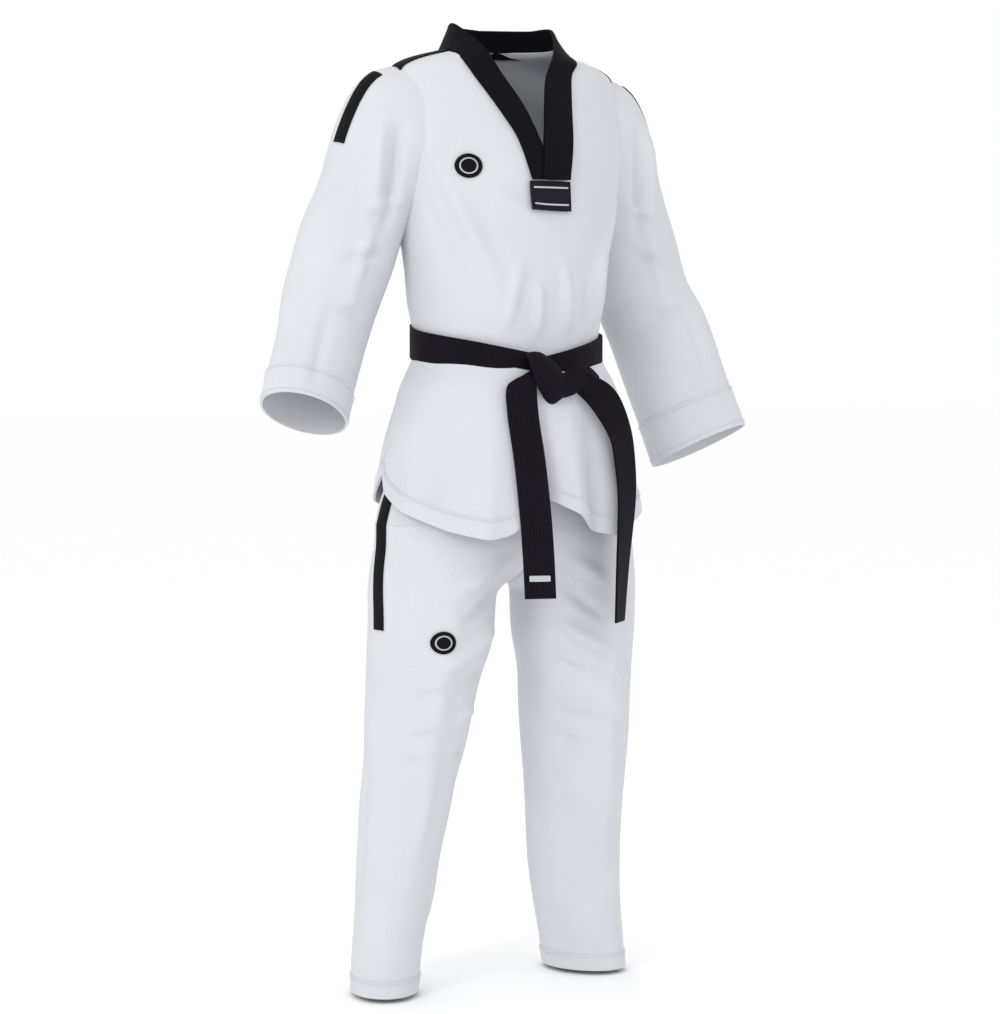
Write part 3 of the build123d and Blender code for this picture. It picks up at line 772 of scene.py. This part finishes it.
LEG_CUT = 50
LEG_HEM_ROWS = 7
HIP_BEND = (up(0, 0, 0.688), up(0, 0, 0.534))
KNEE_BEND = (up(0, 0, 0.515), up(0, 0, 0.355))
leg_turns = np.linspace(0, 2 * math.pi, 128, endpoint=False)
leg_heights = np.concatenate([np.linspace(HIP_JOIN, KNEE_CUT, LEG_CUT + 1),
                              np.linspace(KNEE_CUT, 0.004, 130)[1:]])
leg_grids = {}
for name, side in (("right", -1), ("left", 1)):
    grid = np.array([leg_ring(h, leg_turns) for h in leg_heights])
    if side < 0:
        grid = mirror(grid)
    normal = facing(grid, True)
    away = np.clip((0.672 - leg_heights) / 0.03, 0, 1)[:, None, None]
    moved = crease(grid, normal, mirrored_folds(LEG_FOLDS, side))
    moved = ripple(moved, normal, 21 + side, 0.0035, 0.17)
    grid = grid + (moved - grid) * away
    normal = facing(grid, True)
    leg_grids[name] = (grid, normal)
    upper, lower = grid[:LEG_CUT + 1], grid[LEG_CUT:]
    piece = cloth(f"trouser_thigh_{name}", upper, normal[:LEG_CUT + 1], CLOTH_THICK, white_cloth, wrap=True)
    bend_between(piece, "trousers", f"thigh_{name}", HIP_BEND, "white_cloth", f"leg_upper_{name}")
    piece = cloth(f"trouser_leg_{name}", lower, normal[LEG_CUT:], CLOTH_THICK, white_cloth, wrap=True)
    bend_between(piece, f"thigh_{name}", f"shin_{name}", KNEE_BEND, "white_cloth", f"leg_lower_{name}")
    band, part = edge_band(f"leg_band_{name}", grid, normal, LEG_HEM_ROWS, wrap=True)
    place_on(band, f"shin_{name}", "white_cloth", f"leg_hem_{name}")


# ---- Collar -----------------------------------------------------------------------------
# A stiff black band of ribbed cotton, stitched in rows, which stands at the back of the neck
# and lies flat down both sides of the V, the wearer's left end over the right.
black_collar = cloth_paint("black_collar", (0.0010, 0.0008, 0.0012), (0.0050, 0.0038, 0.0062), 0.0022,
                           0.0004, 0.72, on_surface=True, ribs=0.0075, size=14)
LAPEL_THICK = 0.0042
LAPEL_LIFT = 0.0040
COLLAR_ROWS = 130
OUTER_LINES = {
    "right": [(0.026, None, 1.180), (0.042, None, 1.236), (0.063, None, 1.277), (0.090, None, 1.326),
              (0.100, None, 1.347), (0.096, 0.002, 1.3665), (0.079, 0.061, 1.367), (0.0, 0.093, 1.367)],
    "left": [(0.033, None, 1.180), (0.045, None, 1.232), (0.055, None, 1.288), (0.068, None, 1.332),
             (0.086, None, 1.352), (0.096, 0.002, 1.3665), (0.079, 0.061, 1.367), (0.0, 0.093, 1.367)],
}
INNER_LINES = {
    "right": [(-0.008, None, 1.180), (0.004, None, 1.221), (0.025, None, 1.281), (0.050, None, 1.330),
              (0.066, -0.052, 1.366), (0.078, 0.004, 1.403), (0.064, 0.052, 1.407), (0.0, 0.078, 1.407)],
    "left": [(-0.012, None, 1.180), (-0.006, None, 1.222), (0.006, None, 1.280), (0.021, None, 1.326),
             (0.044, -0.058, 1.364), (0.078, 0.004, 1.403), (0.064, 0.052, 1.407), (0.0, 0.078, 1.407)],
}


def front_at(x, height):
    """The jacket front's y at this distance from the middle."""
    half, front, back = smooth(*TRUNK, height)[0]
    return (front + back) / 2 - (back - front) / 2 * math.sqrt(max(1 - (x / half) ** 2, 0.0))


def line_points(line):
    """A collar edge's points; one without a y lies on the jacket front."""
    return [(x, front_at(x, z) - LAPEL_LIFT if y is None else y, z - WAIST) for x, y, z in line]


def collar_half(name):
    """One half of the collar from its end at the V to the middle of the back."""
    keys = [0, 1, 2, 3, 4, 5, 6.3, 8]
    at = np.linspace(0, 8, COLLAR_ROWS)
    outer = smooth(keys, line_points(OUTER_LINES[name]), at)
    inner = smooth(keys, line_points(INNER_LINES[name]), at)
    share = np.linspace(0, 1, 15)[None, :, None]
    bulge = np.sin(math.pi * share) * np.clip((4 - at[:, None, None]) / 2, 0, 1)
    grid = outer[:, None, :] * (1 - share) + inner[:, None, :] * share
    return grid + bulge * np.array([0, -0.0015, 0])


collar_grids = {}
for name, over_by in (("right", 0.0), ("left", 0.0048)):
    grid = collar_half(name)
    over = np.clip(1 - np.arange(COLLAR_ROWS) / 45, 0, 1)[:, None, None]
    grid = grid + over * np.array([0, -over_by, 0])
    if name == "right":
        grid = mirror(grid)
    normal = facing(grid, False)
    if normal[5, 7, 1] > 0:
        grid = grid[:, ::-1]
        normal = facing(grid, False)
    collar_grids[name] = (grid, normal)
    piece = cloth(f"collar_{name}", grid, normal, LAPEL_THICK, black_collar)
    place_on(piece, "jacket", "black_collar", f"lapel_{name}", "collar_back")


# ---- Belt -------------------------------------------------------------------------------
# A 45 mm black cotton belt stitched along its length in close rows, wrapped twice round the
# waist and tied once in front, so that both ends hang.
black_belt = cloth_paint("black_belt", (0.0015, 0.0010, 0.0022), (0.0085, 0.0055, 0.0115), 0.0020,
                         0.0005, 0.66, on_surface=True, ribs=0.0090, size=16)
BELT_WIDE = 0.045
BELT_THICK = 0.0030
BELT_MIDDLE = 0.940
KNOT_THICK = 0.0075
KNOT_BOW = 0.006


def belt_ring(lift):
    """The belt round the waist, rows across its width, columns along it."""
    angles = np.linspace(0, 2 * math.pi, 241)[:-1]
    level = np.full(240, BELT_MIDDLE)
    base = 0.5 * (shell_at(SKIRT, angles, level) + shell_at(TRUNK, angles, level))
    out = base * np.array([1, 1, 0])
    out /= np.linalg.norm(out, axis=1, keepdims=True)
    rows = []
    for share in np.linspace(0.5, -0.5, 9):
        point = base + out * lift
        point[:, 2] = belt_line(angles) + share * BELT_WIDE - WAIST
        rows.append(point)
    return np.array(rows)


for name, lift, node_name in (("belt_under", 0.0046, "belt_wrap_inner"),
                              ("belt_over", 0.0082, "belt_wrap_outer")):
    grid = belt_ring(lift)
    piece = cloth(name, grid, facing(grid, True), BELT_THICK, black_belt, wrap=True)
    place_on(piece, "jacket", "black_belt", node_name)


def belt_length(name, middles, wides, thick, count, bow=0.0):
    """A length of belt along given middles, each with the direction of its width."""
    keys = list(range(len(middles)))
    at = np.linspace(0, keys[-1], count)
    line = smooth(keys, middles, at)
    wide = smooth(keys, wides, at)
    share = np.linspace(-0.5, 0.5, 13)[None, :, None]
    grid = line[:, None, :] + wide[:, None, :] * share
    grid[..., 2] -= WAIST
    grid = grid + facing(grid, False) * bow * (1 - (2 * share) ** 2)
    return cloth(name, grid, facing(grid, False), thick, black_belt), grid


def hanging_end(side, count, middles, wides):
    """A belt end that hangs from the knot."""
    piece, grid = belt_length(f"belt_end_{side}_strap", middles, wides, BELT_THICK, count)
    place_on(piece, f"belt_end_{side}", "black_belt", f"belt_tail_{side}")
    return grid


def wide_way(degrees, tilt=0.0, width=BELT_WIDE):
    """The way across the belt, turned about the upright and tilted."""
    a = math.radians(degrees)
    return (width * math.cos(a), width * math.sin(a), width * math.sin(math.radians(tilt)))


right_end = hanging_end(
    "right", 90,
    [(-0.030, -0.128, 0.914), (-0.048, -0.126, 0.893), (-0.051, -0.133, 0.850), (-0.047, -0.146, 0.780),
     (-0.043, -0.154, 0.710), (-0.039, -0.156, 0.650), (-0.035, -0.155, 0.589)],
    [wide_way(-10, 38), wide_way(-12, 14), wide_way(-16), wide_way(-18), wide_way(-20), wide_way(-20),
     wide_way(-18)])
hanging_end(
    "left", 100,
    [(0.044, -0.134, 0.896), (0.079, -0.138, 0.869), (0.108, -0.137, 0.822), (0.116, -0.139, 0.775),
     (0.117, -0.142, 0.720), (0.113, -0.138, 0.630), (0.112, -0.132, 0.547)],
    [wide_way(-60, 38, 0.032), wide_way(-20, 42, 0.036), wide_way(16, 24, 0.042), wide_way(20, 6),
     wide_way(26), wide_way(36), wide_way(42)])


def knot_turn(name, node_name, middles, wides):
    """One pulled-tight turn of the knot: a short, plump, bowed length of belt."""
    piece, _ = belt_length(name, middles, wides, KNOT_THICK, 60, KNOT_BOW)
    place_on(piece, "jacket", "black_belt", node_name)


knot_turn("knot_over", "knot_wrap",
          [(-0.019, -0.115, 0.928), (-0.017, -0.129, 0.920), (-0.013, -0.137, 0.904),
           (-0.007, -0.137, 0.888), (-0.001, -0.129, 0.874), (0.001, -0.118, 0.869)],
          [(0.032, -0.006, -0.006), (0.041, -0.008, -0.010), (0.047, -0.008, -0.014),
           (0.043, -0.006, -0.012), (0.022, -0.004, -0.004), (0.012, -0.003, 0)])
knot_turn("knot_under", "knot_loop",
          [(-0.006, -0.120, 0.880), (0.006, -0.130, 0.884), (0.022, -0.136, 0.892),
           (0.037, -0.137, 0.901), (0.050, -0.134, 0.899), (0.064, -0.132, 0.887)],
          [(-0.006, 0, 0.016), (-0.010, 0, 0.022), (-0.014, 0, 0.028), (-0.008, 0, 0.030),
           (0.010, 0, 0.029), (0.018, 0, 0.026)])


# ---- Waist elastic and eyelets -----------------------------------------------------------
# A flat woven elastic runs inside the waistband's casing, and two worked eyelets in front
# let a drawstring out. The elastic is corded knit, the eyelets are ring-stitched thread.
elastic_weave = cloth_paint("elastic", (0.50, 0.50, 0.51), (0.66, 0.66, 0.67), 0.0012, 0.0005, 0.7)
eyelet_thread = cloth_paint("eyelet_thread", (0.42, 0.42, 0.44), (0.58, 0.58, 0.60), 0.0006, 0.0003, 0.7)
EYELET_ASIDE = 0.014
EYELET_RADIUS = 0.0031
EYELET_STITCHES = 36
grid = np.array([shell_at(SEAT, seat_angles, np.full(SEAT_POINTS, h)) for h in np.linspace(0.970, 0.940, 12)])
grid = grid + facing(grid, True) * (0.0008 * np.sin(seat_angles * GATHERS)[None, :, None] - 0.0030)
elastic = cloth("elastic_band", grid, facing(grid, True), 0.0016, elastic_weave, wrap=True)
place_on(elastic, "trousers", "elastic", "waist_elastic")

rings = bmesh.new()
for x in (-EYELET_ASIDE, EYELET_ASIDE):
    for index in range(EYELET_STITCHES):
        turn = index * 2 * math.pi / EYELET_STITCHES
        spot = up(x + EYELET_RADIUS * math.cos(turn), -0.0980, 0.955 + EYELET_RADIUS * math.sin(turn))
        made = bmesh.ops.create_uvsphere(rings, u_segments=8, v_segments=6, radius=0.0009)
        for vert in made["verts"]:
            vert.co = vert.co + Vector(spot)
eyelet_mesh = bpy.data.meshes.new("eyelet_rings")
rings.to_mesh(eyelet_mesh)
rings.free()
eyelet_mesh.shade_smooth()
eyelet_mesh.materials.append(eyelet_thread)
eyelets = bpy.data.objects.new("eyelet_rings", eyelet_mesh)
scene.collection.objects.link(eyelets)
place_on(eyelets, "trousers", "eyelet_thread", "drawstring_eyelets")


# ---- Label, badges and tapes ------------------------------------------------------------
# Small sewn-on pieces: a dark woven label under the V, a plain round badge on the chest and
# one on the thigh, black tape along the shoulders, sleeves and trouser sides, and a white bar.
TRIM_TONES = {
    "label_cloth": ((0.004, 0.0035, 0.007), (0.016, 0.013, 0.024), 0.0012, 0.0003, 0.6),
    "black_tape": ((0.0015, 0.0015, 0.002), (0.007, 0.007, 0.009), 0.0012, 0.0003, 0.7),
    "white_thread": ((0.42, 0.43, 0.46), (0.62, 0.63, 0.66), 0.0009, 0.0003, 0.7),
}
TRIMS = {name: cloth_paint(name, *tones) for name, tones in TRIM_TONES.items()}
TRIM_THICK = 0.0011
TAPE_LIFT = 0.0022


def patch(name, grid, lift, trim, body, nodes=(), thick=TRIM_THICK):
    """A small flat piece sewn on, lifted off the points it lies on."""
    normal = facing(grid, False)
    piece = cloth(name, grid + normal * lift, normal, thick, TRIMS[trim])
    place_on(piece, body, trim, *nodes)


def on_front(x, height):
    """Points on the finished jacket front, folds included."""
    grid = np.array([[(a, front_at(a, h), h - WAIST) for a in x] for h in height])
    return fold_trunk(grid, facing(grid, False))


def on_top(x, y_range, count):
    """A strip on the jacket's shoulder: for each distance out, points across it on the surface."""
    across = np.linspace(*y_range, count)
    strip = np.array([[(a, y, top_height(a, y) - WAIST) for y in across] for a in x])
    if facing(strip, False)[len(x) // 2, count // 2, 2] < 0:
        strip = strip[:, ::-1]
    return fold_trunk(strip, facing(strip, False))


def top_height(x, y):
    """The highest place on the jacket's surface at x, y, found by halving."""
    low, high = 1.262, NECK_TOP
    for _ in range(24):
        middle = (low + high) / 2
        half, front, back = smooth(*TRUNK, middle)[0]
        centre, deep = (front + back) / 2, (back - front) / 2
        if (x / half) ** 2 + ((y - centre) / deep) ** 2 < 1:
            low = middle
        else:
            high = middle
    return low


label_grid = on_front(np.linspace(-0.031, 0.035, 12), np.linspace(1.177, 1.135, 10))
patch("collar_tab", label_grid, 0.0060, "label_cloth", "jacket", ["collar_label"], thick=0.0016)
LINE_HALF = 0.0012
for index, height in enumerate((1.168, 1.144)):
    line = on_front(np.linspace(-0.026, 0.030, 12), np.linspace(height + LINE_HALF, height - LINE_HALF, 3))
    patch(f"tab_line_{index}", line, 0.0074, "white_thread", "jacket", thick=0.0006)


def disc(name, spot, radius, trim, lift, body, nodes=()):
    """A round patch: rings of points on the cloth round a middle."""
    turns = np.linspace(0, 2 * math.pi, 40, endpoint=False)
    grid = np.array([spot(radius * share * np.cos(turns), radius * share * np.sin(turns))
                     for share in np.linspace(0.03, 1, 8)])
    normal = facing(grid, True)
    if normal[4].mean(axis=0)[1] > 0:
        grid = grid[:, ::-1]
        normal = facing(grid, True)
    piece = cloth(name, grid + normal * lift, normal, TRIM_THICK, TRIMS[trim], wrap=True)
    place_on(piece, body, trim, *nodes)


def nearest(cloth_grid, points):
    """Moves points in y onto the front of a cloth grid, by a smooth fit to the cloth round about."""
    flat = cloth_grid.reshape(-1, 3)
    middle = points.mean(axis=0)
    flat = flat[(np.hypot(flat[:, 0] - middle[0], flat[:, 2] - middle[2]) < 0.030) & (flat[:, 1] < 0.01)]

    def terms(at):
        x, z = at[:, 0] - middle[0], at[:, 2] - middle[2]
        return np.column_stack([np.ones(len(x)), x, z, x * x, x * z, z * z])

    fit = np.linalg.lstsq(terms(flat), flat[:, 1], rcond=None)[0]
    moved = points.copy()
    moved[:, 1] = terms(points) @ fit
    return moved


def chest_spot(dx, dz):
    """Points round the middle of the chest badge."""
    x, height = -0.112 + dx, 1.197 + dz
    return np.array([(a, front_at(a, h), h - WAIST) for a, h in zip(x, height)])


def thigh_spot(dx, dz):
    """Points round the middle of the thigh badge."""
    points = np.column_stack([-0.150 + dx, np.zeros(len(dx)), 0.526 + dz - WAIST])
    return nearest(leg_grids["right"][0], points)


for name, spot, body, sizes, lifts in (
        ("chest", chest_spot, "jacket", (0.017, 0.0115, 0.0095), (0.0040, 0.0049, 0.0057)),
        ("thigh", thigh_spot, "thigh_right", (0.016, 0.0105, 0.0085), (0.0030, 0.0040, 0.0049))):
    disc(f"{name}_patch", spot, sizes[0], "black_tape", lifts[0], body, [f"{name}_badge"])
    disc(f"{name}_patch_ring", spot, sizes[1], "white_thread", lifts[1], body)
    disc(f"{name}_patch_middle", spot, sizes[2], "black_tape", lifts[2], body)

TAPE_HALF = 0.012
SHOULDER_LINE = 0.008
SHOULDER_SPAN = (SHOULDER_LINE - TAPE_HALF, SHOULDER_LINE + TAPE_HALF)


def crown_strip(ring_rows, crown, ahead):
    """A strip as wide as the tape down the sleeve's crown, cut from the sleeve's own rows."""
    keep = (crown + ahead + np.arange(-5, 6)) % SLEEVE_POINTS
    ring = ring_rows[12]
    length = np.linalg.norm(np.diff(ring[keep], axis=0), axis=1).sum()
    span = np.interp(np.linspace(-TAPE_HALF, TAPE_HALF, 9), np.linspace(-length / 2, length / 2, 11),
                     np.arange(11))
    low = np.floor(span).astype(int).clip(0, 9)
    rest = (span - low)[None, :, None]
    part = ring_rows[:, keep]
    return part[:, low] * (1 - rest) + part[:, low + 1] * rest


for name, side in (("right", -1), ("left", 1)):
    strip = on_top(np.linspace(0.094, 0.176, 26) * side, SHOULDER_SPAN, 7)
    patch(f"shoulder_strip_{name}", strip, 0.0030, "black_tape", "jacket", [f"shoulder_tape_{name}"])
    grid, normal = sleeve_grids[name]
    crown = 0 if side > 0 else SLEEVE_POINTS - 1
    ring = grid[26]
    ahead = 3 if ring[(crown + 3) % SLEEVE_POINTS, 1] < ring[crown - 3, 1] else -3
    strip = crown_strip(grid[14:33], crown, ahead)
    if facing(strip, False)[9, 4] @ normal[23, crown] < 0:
        strip = strip[:, ::-1]
    normal = facing(strip, False)
    piece = cloth(f"sleeve_strip_{name}", strip + normal * TAPE_LIFT, normal, TRIM_THICK, TRIMS["black_tape"])
    bend_between(piece, "jacket", f"arm_upper_{name}", armhole_bend(side), "black_tape",
                 f"sleeve_tape_{name}")


def side_strip(grid, side, heights):
    """A strip as wide as the tape down the outer side of a trouser grid."""
    widths = np.linspace(-TAPE_HALF, TAPE_HALF, 7)
    rows = []
    for height in heights:
        level = height - WAIST
        index = int(np.argmin(np.abs(grid[:, 0, 2] - level)))
        above = index if grid[index, 0, 2] >= level else index - 1
        share = (grid[above, 0, 2] - level) / (grid[above, 0, 2] - grid[above + 1, 0, 2])
        ring = grid[above] * (1 - share) + grid[above + 1] * share
        reach = (ring[:, 0] * side).max()
        near = ring[(np.abs(ring[:, 1]) < 0.07) & (ring[:, 0] * side > reach * 0.7)]
        near = near[np.argsort(near[:, 1])]
        rows.append([(np.interp(w, near[:, 1], near[:, 0]), w, level) for w in widths])
    return np.array(rows)


for name, side in (("right", -1), ("left", 1)):
    high = side_strip(seat_grid, side, np.linspace(0.735, 0.692, 14))
    low = side_strip(leg_grids[name][0], side, np.linspace(0.688, 0.540, 40))
    grid = np.concatenate([high, low])
    if facing(grid, False)[10, 3, 0] * side < 0:
        grid = grid[:, ::-1]
    lifted = grid + facing(grid, False) * TAPE_LIFT
    piece = cloth(f"trouser_strip_{name}", lifted, facing(lifted, False), TRIM_THICK, TRIMS["black_tape"])
    bend_between(piece, "trousers", f"thigh_{name}", HIP_BEND, "black_tape", f"side_tape_{name}",
                 f"hip_tape_{name}")

patch("belt_end_bar", right_end[-9:-6, 2:11], 0.0021, "white_thread", "belt_end_right",
      ["belt_rank_bar"], thick=0.0012)


# ---- Seam stitches ----------------------------------------------------------------------
# Lockstitch rows of white sewing thread, about 4 mm a stitch, along the turned hems and
# cuffs, and of black thread along the collar's edges.
def stitch_tree():
    """Geometry nodes: a path is cut into even lengths, each with one small rounded stitch."""
    tree = bpy.data.node_groups.new("seam_stitches", "GeometryNodeTree")
    face = tree.interface
    face.new_socket("Geometry", in_out="INPUT", socket_type="NodeSocketGeometry")
    for label, kind in (("Spacing", "NodeSocketFloat"), ("Length", "NodeSocketFloat"),
                        ("Thickness", "NodeSocketFloat"), ("Thread", "NodeSocketMaterial")):
        face.new_socket(label, in_out="INPUT", socket_type=kind)
    face.new_socket("Geometry", in_out="OUTPUT", socket_type="NodeSocketGeometry")
    given = node(tree, "NodeGroupInput")
    path = node(tree, "GeometryNodeMeshToCurve", {"Mesh": given.outputs["Geometry"]})
    spaced = node(tree, "GeometryNodeResampleCurve", mode="LENGTH")
    tree.links.new(path.outputs["Curve"], spaced.inputs["Curve"])
    tree.links.new(given.outputs["Spacing"], spaced.inputs["Length"])
    ball = node(tree, "GeometryNodeMeshUVSphere", {"Segments": 6, "Rings": 4, "Radius": 0.5})
    shape = node(tree, "ShaderNodeCombineXYZ", {
        "X": given.outputs["Thickness"], "Y": given.outputs["Thickness"], "Z": given.outputs["Length"]})
    tangent = node(tree, "GeometryNodeInputTangent")
    turn = node(tree, "FunctionNodeAlignRotationToVector", {"Vector": tangent.outputs["Tangent"]}, axis="Z")
    place = node(tree, "GeometryNodeInstanceOnPoints", {
        "Points": spaced.outputs["Curve"], "Instance": ball.outputs["Mesh"],
        "Rotation": turn.outputs["Rotation"], "Scale": shape.outputs["Vector"]})
    real = node(tree, "GeometryNodeRealizeInstances", {"Geometry": place.outputs["Instances"]})
    coloured = node(tree, "GeometryNodeSetMaterial", {
        "Geometry": real.outputs["Geometry"], "Material": given.outputs["Thread"]})
    node(tree, "NodeGroupOutput", {"Geometry": coloured.outputs["Geometry"]})
    return tree


stitches = stitch_tree()
seam_white = cloth_paint("seam_white", (0.50, 0.51, 0.55), (0.62, 0.63, 0.66), 0.0006, 0.0002, 0.8)
seam_black = cloth_paint("seam_black", (0.004, 0.004, 0.005), (0.016, 0.015, 0.018), 0.0006, 0.0002, 0.8)
STITCH = 0.0042


def sew(name, lines, thread, body):
    """Stitches along one or more lines of points, fixed to the body that carries their cloth."""
    points, edges = [], []
    for line in lines:
        first = len(points)
        points += line.tolist()
        edges += [(first + k, first + k + 1) for k in range(len(line) - 1)]
    mesh = bpy.data.meshes.new(name + "_path")
    mesh.from_pydata(points, edges, [])
    path = bpy.data.objects.new(name + "_path", mesh)
    scene.collection.objects.link(path)
    modifier = path.modifiers.new("stitches", "NODES")
    modifier.node_group = stitches
    wanted = {"Spacing": STITCH, "Length": STITCH * 0.72, "Thickness": 0.0009, "Thread": thread}
    for item in stitches.interface.items_tree:
        if item.in_out == "INPUT" and item.name in wanted:
            modifier[item.identifier] = wanted[item.name]
    view = bpy.context.evaluated_depsgraph_get()
    sewn_mesh = bpy.data.meshes.new_from_object(path.evaluated_get(view))
    bpy.data.objects.remove(path)
    bpy.data.meshes.remove(mesh)
    sewn = bpy.data.objects.new(name, sewn_mesh)
    sewn_mesh.name = name
    scene.collection.objects.link(sewn)
    place_on(sewn, body, "white_thread" if thread is seam_white else "black_collar")


def around(line):
    return np.concatenate([line, line[:1]])


OUT = HEM_RAISE + CLOTH_THICK
for name, (grid, normal) in skirt_grids.items():
    sew(f"stitches_hem_{name}", [grid[-10] + normal[-10] * OUT], seam_white, f"flap_{name}")
for name in ("right", "left"):
    grid, normal = sleeve_grids[name]
    rows = [around(grid[k] + normal[k] * OUT) for k in (-15, -3)]
    sew(f"stitches_cuff_{name}", rows, seam_white, f"arm_lower_{name}")
    grid, normal = leg_grids[name]
    sew(f"stitches_leg_{name}", [around(grid[-6] + normal[-6] * OUT)], seam_white, f"shin_{name}")
    grid, normal = collar_grids[name]
    rows = [grid[:, k] + normal[:, k] * (LAPEL_THICK / 2 + 0.0003) for k in (1, -2)]
    sew(f"stitches_collar_{name}", rows, seam_black, "jacket")
rows = [around(seat_grid[k] + seat_normal[k] * 0.0045) for k in (2, 10)]
sew("stitches_waistband", rows, seam_white, "trousers")
